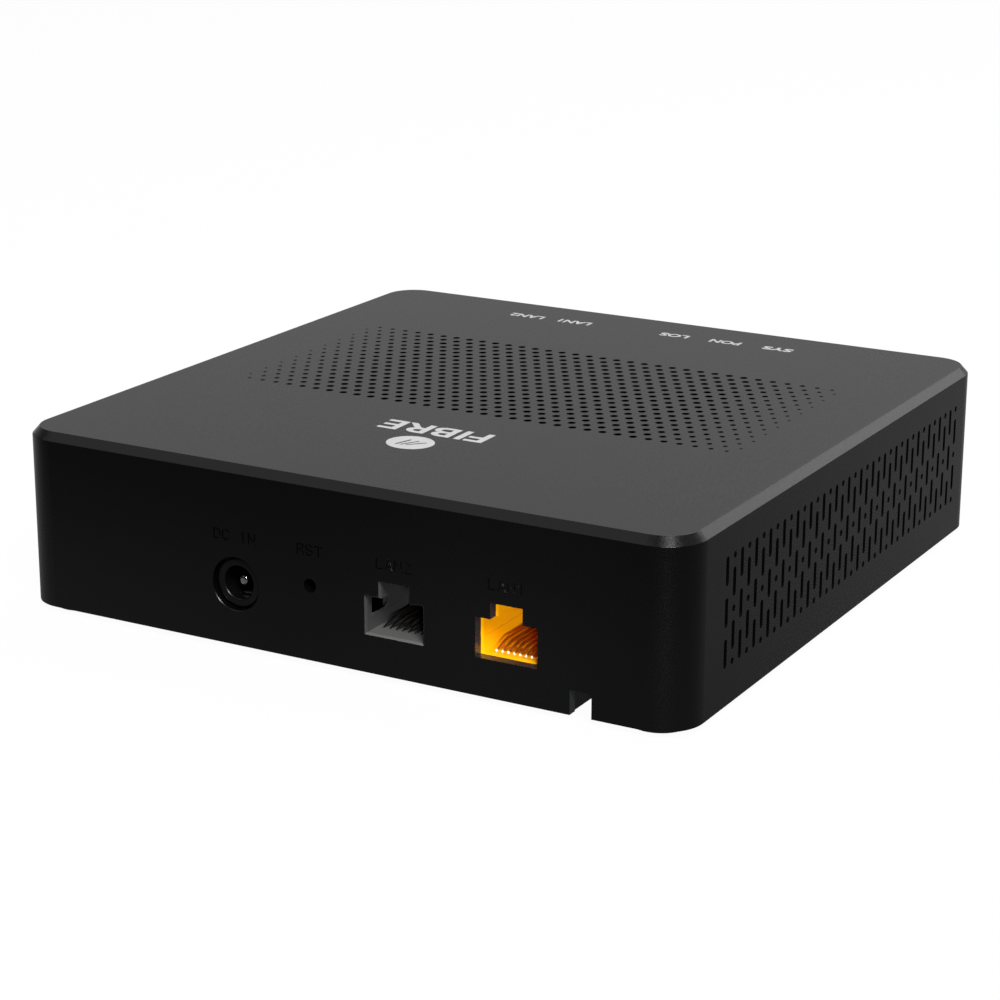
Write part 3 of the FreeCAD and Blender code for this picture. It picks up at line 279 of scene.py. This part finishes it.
materials = {
    # The case plastic carries painted light on the lips of its Ethernet port openings.
    "case_plastic": tinted("case_plastic", case_colour, case_gloss, lip_painted_light, painted_light_lips,
                           relief=case_relief).material,
    "foot_rubber": moulded("foot_rubber", (0.022, 0.022, 0.022), 0.75, grain=0.4 * mm,
                           relief=0.02 * mm),
    "screw_steel": metal("screw_steel", (0.50, 0.50, 0.51), 0.32),
    "label_film": moulded("label_film", (0.60, 0.60, 0.59), 0.5, grain=0.5 * mm,
                          relief=0.004 * mm),
    "clear_plastic": moulded("clear_plastic", (0.72, 0.75, 0.76), 0.3, grain=0.5 * mm,
                             relief=0.004 * mm),
    "board": moulded("board", (0.012, 0.105, 0.045), 0.32, grain=1.2 * mm, relief=0.02 * mm),
    "black_plastic": moulded("black_plastic", (0.0025, 0.0025, 0.0026), 0.3, edge=soft_edge),
    "nickel": metal("nickel", (0.66, 0.65, 0.63), 0.28),
    "button_plastic": moulded("button_plastic", (0.03, 0.03, 0.03), 0.4),
    "yellow_plastic": moulded("yellow_plastic", (1.0, 0.46, 0.001), 0.36, spread=0.02,
                              edge=0.08 * mm),
    "gold_plate": metal("gold_plate", (0.86, 0.60, 0.24), 0.25),
    # The grey socket's material has painted light on its level faces.
    "grey_plastic": grey_socket(),
    "chip_plastic": moulded("chip_plastic", (0.02, 0.02, 0.022), 0.5, grain=0.3 * mm,
                            relief=0.01 * mm),
    "pad_silicone": moulded("pad_silicone", (0.30, 0.40, 0.50), 0.7),
    "sink_aluminium": metal("sink_aluminium", (0.70, 0.71, 0.72), 0.35, 0.1 * mm, (1, 0.05, 1)),
    "white_plastic": moulded("white_plastic", (0.72, 0.72, 0.69), 0.4),
    "ferrite": moulded("ferrite", (0.05, 0.05, 0.055), 0.6),
    "ceramic_tan": moulded("ceramic_tan", (0.40, 0.28, 0.18), 0.5),
    "blue_plastic": moulded("blue_plastic", (0.02, 0.11, 0.42), 0.38),
    "white_ceramic": moulded("white_ceramic", (0.82, 0.82, 0.80), 0.2),
}

for subpart in frame["record"]["subparts"]:
    piece = nodes[subpart["node"]]
    piece.data.materials.clear()
    piece.data.materials.append(materials[subpart["material_slot"]])
# The lid gets painted shade inside its vent holes.
nodes["top_cover"].data.materials[0] = vented_lid()
nodes["dc_jack_pin"].data.materials[0] = metal("polished_nickel", (0.75, 0.74, 0.72), 0.14)


# Prints on the lid --------------------------------------------------------------------------------


def place_piece(name, mesh, material):
    """A new piece that rides with the case, with its own finish."""
    piece = bpy.data.objects.new(name, mesh)
    bpy.context.scene.collection.objects.link(piece)
    mesh.materials.clear()
    mesh.materials.append(material)
    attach(piece, "terminal")
    return piece


def curve_mesh(curve):
    """The mesh of a curve or text."""
    shape = bpy.data.objects.new("shape", curve)
    bpy.context.scene.collection.objects.link(shape)
    mesh = bpy.data.meshes.new_from_object(shape.evaluated_get(
        bpy.context.evaluated_depsgraph_get()))
    bpy.data.objects.remove(shape)
    return mesh


def fit_flat(mesh, x, y, width, depth):
    """Moves and stretches a flat mesh to a place and size on the lid."""
    points = [v.co.copy() for v in mesh.vertices]
    low = [min(p[i] for p in points) for i in range(3)]
    high = [max(p[i] for p in points) for i in range(3)]
    for v in mesh.vertices:
        u = (v.co.x - low[0]) / (high[0] - low[0]) - 0.5
        w = (v.co.y - low[1]) / (high[1] - low[1]) - 0.5
        t = (v.co.z - low[2]) / (high[2] - low[2])
        v.co = Vector((x + u * width, y + w * depth, lid_top + print_thickness * t))


def printed_word(word, x, y, width, depth, weight):
    """A word in raised ink, upright for someone in front of the case."""
    curve = bpy.data.curves.new(word, "FONT")
    curve.body = word
    curve.extrude = flat_extrude
    curve.offset = weight
    curve.resolution_u = 4
    mesh = curve_mesh(curve)
    fit_flat(mesh, x, y, width, depth)
    place_piece("print_" + word.lower(), mesh, print_ink)


def slot_outline(number):
    """One slanting slot of the mark, in radii of its disc."""
    lean = math.radians(slot_lean + slot_fan * number)
    across = Vector((math.sin(lean), -math.cos(lean)))
    along = Vector((math.cos(lean), math.sin(lean)))
    middle = Vector((slot_gap * number, slot_lift))
    outline = []
    for a in circle_angles:
        reach = slot_reach if math.sin(a) >= 0 else -slot_reach
        side = across * slot_radius * math.cos(a)
        outline.append(middle + side + along * (reach + slot_radius * math.sin(a)))
    return outline


def printed_mark():
    """A made-up mark: a disc with three slanting slots that fan out, as fibres do."""
    curve = bpy.data.curves.new("mark", "CURVE")
    curve.dimensions = "2D"
    curve.fill_mode = "BOTH"
    curve.extrude = flat_extrude
    disc = [(math.cos(a), math.sin(a)) for a in circle_angles]
    for outline in [disc] + [slot_outline(number) for number in (-1, 0, 1)]:
        spline = curve.splines.new("POLY")
        spline.points.add(len(outline) - 1)
        for point, (x, y) in zip(spline.points, outline):
            point.co = (x, y, 0, 1)
        spline.use_cyclic_u = True
    mesh = curve_mesh(curve)
    fit_flat(mesh, mark_x, mark_y, mark_width, mark_depth)
    place_piece("print_mark", mesh, print_ink)


lid_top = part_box("top_cover")[1][2]
print_colour = (0.50, 0.50, 0.50)
print_thickness = 0.015 * mm
print_ink = moulded("print_ink", print_colour, 0.45, grain=0.12 * mm, relief=0.004 * mm, spread=0.06)
flat_extrude = 0.01
circle_steps = 48
circle_angles = [2 * math.pi * i / circle_steps for i in range(circle_steps)]
slot_lean = 62
slot_fan = 12
slot_gap = 0.30
slot_lift = 0.05
slot_reach = 0.42
slot_radius = 0.055
mark_x = 0.3 * mm
mark_y = 41.5 * mm
mark_width = 9.3 * mm
mark_depth = 8.5 * mm
word_y = 32.4 * mm
word_width = 22.8 * mm
word_depth = 5.8 * mm
word_weight = 0.02
light_y = -57.9 * mm
light_depth = 2.5 * mm
light_weight = 0.035
light_names = [("SYS", -29.9, 6.7), ("PON", -17.8, 7.0), ("LOS", -5.8, 6.6), ("LAN1", 18.4, 7.7),
               ("LAN2", 30.3, 8.2)]
for word, x, width in light_names:
    printed_word(word, x * mm, light_y, width * mm, light_depth, light_weight)
printed_word("FIBRE", mark_x, word_y, word_width, word_depth, word_weight)
printed_mark()


# Ethernet contact wires -----------------------------------------------------------------------------


def painted_tip_highlight():
    """A painted highlight on the wires' ends: a pale colour that stands in for the glints of light on
    them.
    """
    s = moulded_shader("wire_tip_highlight", (0.95, 0.88, 0.70), 0.35, grain=0.1 * mm, relief=0.002 * mm,
                       spread=0.05)
    s.surface.inputs["Metallic"].default_value = 0.35
    return s.material


def wire_path(tip_y, tip_z, top_z, tail_y, tail_z):
    """A wire's depths and heights: an arch up from the tip, a level run and a turn down."""
    path = []
    for step in range(arch_steps + 1):
        share = step / arch_steps
        rise = (top_z - tip_z) * math.sin(math.pi / 2 * share)
        path.append((tip_y - wire_arch * share, tip_z + rise))
    return path + [(tail_y + tail_turn, top_z), (tail_y, top_z - tail_turn), (tail_y, tail_z)]


def add_ball(tips, x, y, z, radius):
    """A ball, a little taller than wide, at a wire's end."""
    ball = bmesh.ops.create_uvsphere(tips, u_segments=16, v_segments=10, radius=radius)
    bmesh.ops.scale(tips, verts=ball["verts"], vec=(1, 1, tip_stretch))
    bmesh.ops.translate(tips, verts=ball["verts"], vec=(x, y, z))


def smooth_piece(name, mesh, material):
    """A smooth-shaded piece of the contacts."""
    for face in mesh.polygons:
        face.use_smooth = True
    return place_piece(name, mesh, material)


def contact_wires(jack, tip_size, finish):
    """Eight round spring wires that curve up and run level, in place of the plain CAD strips."""
    low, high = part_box(jack + "_contacts")
    pitch = (high[0] - low[0] - strip_width) / (wire_count - 1)
    tip_y = high[1] - tip_radius
    tip_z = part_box("bottom_shell")[0][2] + wire_lift
    top_z = high[2] - wire_radius
    curve = bpy.data.curves.new(jack, "CURVE")
    curve.dimensions = "3D"
    curve.bevel_depth = wire_radius
    curve.bevel_resolution = 3
    curve.use_fill_caps = True
    tips = bmesh.new()
    for i in range(wire_count):
        x = low[0] + strip_width / 2 + i * pitch
        tail_y = low[1] + wire_radius + (0 if i % 2 else row_gap)
        path = wire_path(tip_y, tip_z, top_z, tail_y, low[2])
        spline = curve.splines.new("POLY")
        spline.points.add(len(path) - 1)
        for point, (y, z) in zip(spline.points, path):
            point.co = (x, y, z, 1)
        if tip_size:
            add_ball(tips, x, tip_y, tip_z, tip_size)
    wires = smooth_piece(jack + "_wires", curve_mesh(curve), finish)
    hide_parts(jack + "_contacts")
    if tip_size:
        ends = bpy.data.meshes.new(jack + "_wire_tip_highlight")
        tips.to_mesh(ends)
        smooth_piece(jack + "_wire_tip_highlight", ends, tip_highlight_paint)
    tips.free()


wire_count = 8
strip_width = 0.42 * mm
wire_radius = 0.17 * mm
wire_arch = 4.4 * mm
arch_steps = 8
tail_turn = 0.4 * mm
tip_radius = 0.25 * mm
tip_stretch = 1.35
wire_lift = 7.42 * mm
row_gap = 2.05 * mm
wire_brush = 2.0 * mm
# The wires' ends get a painted highlight.
tip_highlight_paint = painted_tip_highlight()
# Painted shade and reflection on the wires: LAN1's gold is darker and more orange, for the shade and
# the yellow socket it reflects; LAN2's wires are a near-black shaded copy.
contact_wires("lan1", tip_radius, metal("wire_gold_painted_shade", (0.62, 0.36, 0.10), 0.42, wire_brush))
contact_wires("lan2", 0, metal("wire_painted_shade", (0.06, 0.05, 0.035), 0.5, wire_brush))


# Floor, light and camera ------------------------------------------------------------------------


def make_floor():
    """A floor that looks white and reflects dimly and unevenly, and keeps a soft shadow."""
    bm = bmesh.new()
    bmesh.ops.create_grid(bm, x_segments=1, y_segments=1, size=floor_size)
    mesh = bpy.data.meshes.new("floor")
    bm.to_mesh(mesh)
    bm.free()
    floor = bpy.data.objects.new("floor", mesh)
    bpy.context.scene.collection.objects.link(floor)
    s = Shader("floor")
    path = s.add("ShaderNodeLightPath")
    across = s.ramp(s.part(s.place, "X"), floor_glow_left, floor_glow_right, -fade_reach, fade_reach)
    along = s.ramp(s.part(s.place, "Y"), 1.0, front_light / back_light, -fade_start, fade_reach)
    glow = s.maths("MULTIPLY", path.outputs["Is Glossy Ray"], s.maths("MULTIPLY", across, along))
    seen = s.maths("MULTIPLY", path.outputs["Is Camera Ray"], floor_seen)
    s.surface.inputs["Base Color"].default_value = (floor_colour,) * 3 + (1,)
    s.surface.inputs["Roughness"].default_value = 0.9
    s.surface.inputs["Specular IOR Level"].default_value = 0.0
    s.surface.inputs["Emission Color"].default_value = (1, 1, 1, 1)
    s.link(s.maths("ADD", glow, seen), s.surface.inputs["Emission Strength"])
    floor.data.materials.append(s.material)


floor_size = 4.0
floor_colour = 0.03
floor_seen = 0.965
floor_glow_left = 0.14
floor_glow_right = 0.8
fade_reach = 0.15
fade_start = 0.25
back_light = 0.5
left_light = 0.6
front_light = 0.012
make_floor()


def world_fade(tree, source, start, end, low, high):
    """A number that goes from low to high as a direction's share goes from start to end."""
    node = tree.nodes.new("ShaderNodeMapRange")
    node.inputs["From Min"].default_value = start
    node.inputs["From Max"].default_value = end
    node.inputs["To Min"].default_value = low
    node.inputs["To Max"].default_value = high
    tree.links.new(source, node.inputs["Value"])
    return node


def make_world():
    """White where the camera looks, dim where it lights the object."""
    world = bpy.data.worlds.new("studio")
    bpy.context.scene.world = world
    world.use_nodes = True
    tree = world.node_tree
    tree.nodes.clear()
    path = tree.nodes.new("ShaderNodeLightPath")
    around = tree.nodes.new("ShaderNodeTexCoord")
    split = tree.nodes.new("ShaderNodeSeparateXYZ")
    tree.links.new(around.outputs["Generated"], split.inputs[0])
    side_light = world_fade(tree, split.outputs["Y"], -0.7, 0.5, back_light, front_light)
    side_light.interpolation_type = "SMOOTHSTEP"
    left_fade = world_fade(tree, split.outputs["X"], -0.5, 0.2, left_light, 1.0)
    around_light = tree.nodes.new("ShaderNodeMath")
    around_light.operation = "MULTIPLY"
    tree.links.new(side_light.outputs["Result"], around_light.inputs[0])
    tree.links.new(left_fade.outputs["Result"], around_light.inputs[1])
    strength = tree.nodes.new("ShaderNodeMapRange")
    tree.links.new(around_light.outputs[0], strength.inputs["To Min"])
    strength.inputs["To Max"].default_value = 1.0
    tree.links.new(path.outputs["Is Camera Ray"], strength.inputs["Value"])
    background = tree.nodes.new("ShaderNodeBackground")
    tree.links.new(strength.outputs["Result"], background.inputs["Strength"])
    output = tree.nodes.new("ShaderNodeOutputWorld")
    tree.links.new(background.outputs[0], output.inputs["Surface"])


make_world()


def place_lamp(light, place, aim):
    """Puts a light somewhere and aims it at a point."""
    lamp = bpy.data.objects.new(light.name, light)
    lamp.location = place
    lamp.rotation_mode = "QUATERNION"
    lamp.rotation_quaternion = (Vector(aim) - Vector(place)).to_track_quat("-Z", "Y")
    bpy.context.scene.collection.objects.link(lamp)
    return lamp


def soft_box(name, place, aim, width, height, watts):
    """A rectangular studio light aimed at a point."""
    light = bpy.data.lights.new(name, "AREA")
    light.shape = "RECTANGLE"
    light.size = width
    light.size_y = height
    light.energy = watts
    place_lamp(light, place, aim)


soft_box("overhead", (-0.10, -0.65, 0.95), (0, 0, 0), 0.8, 0.6, 7)
soft_box("far_panel", (-0.46, -1.14, 0.53), (0, 0, 0.03), 0.9, 0.4, 1.5)
soft_box("rear_panel", (-0.58, 0.66, 0.86), (0, 0, 0), 0.4, 0.4, 16)
soft_box("rim_panel", (0.52, 0.42, 0.90), (0, 0, 0), 0.7, 0.7, 0.7)


def port_spot():
    """A narrow soft spotlight into the yellow Ethernet port, hidden from the camera."""
    light = bpy.data.lights.new("port_spot", "SPOT")
    light.energy = spot_watts
    light.spot_size = math.radians(spot_angle)
    light.spot_blend = 1.0
    light.shadow_soft_size = spot_softness
    place = Vector(spot_aim) + Vector(spot_side).normalized() * spot_distance
    place_lamp(light, place, spot_aim).visible_camera = False


spot_watts = 12
spot_angle = 6.6
spot_softness = 0.02
spot_aim = (-0.033, 0.068, 0.012)
spot_side = (-0.55, 0.80, 0.16)
spot_distance = 0.5
port_spot()

# The camera's place: round the case from -Y, above the floor, and its distance from the case's foot
view_azimuth = math.radians(209.304)
view_elevation = math.radians(17.319)
view_roll = math.radians(0.1926)
view_distance = 0.535886
pan_right = -3.93 * mm
pan_up = 11.56 * mm
lens_length = 95.67


def make_camera():
    """The camera behind the port panel, a little above the case."""
    a = view_azimuth
    e = view_elevation
    back = Vector((math.sin(a) * math.cos(e), -math.cos(a) * math.cos(e), math.sin(e)))
    level = Vector((math.cos(a), math.sin(a), 0))
    rise = back.cross(level)
    right = level * math.cos(view_roll) + rise * math.sin(view_roll)
    up = rise * math.cos(view_roll) - level * math.sin(view_roll)
    target = Vector((0, 0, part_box("bottom_shell")[0][2]))
    place = target + back * view_distance + right * pan_right + up * pan_up
    camera = bpy.data.objects.new("camera", bpy.data.cameras.new("camera"))
    camera.data.lens = lens_length
    camera.data.sensor_width = 36.0
    camera.data.clip_start = 0.01
    camera.matrix_world = Matrix((
        (right.x, up.x, back.x, place.x),
        (right.y, up.y, back.y, place.y),
        (right.z, up.z, back.z, place.z),
        (0, 0, 0, 1),
    ))
    bpy.context.scene.collection.objects.link(camera)
    bpy.context.scene.camera = camera


make_camera()
bpy.context.scene.view_settings.view_transform = "Standard"
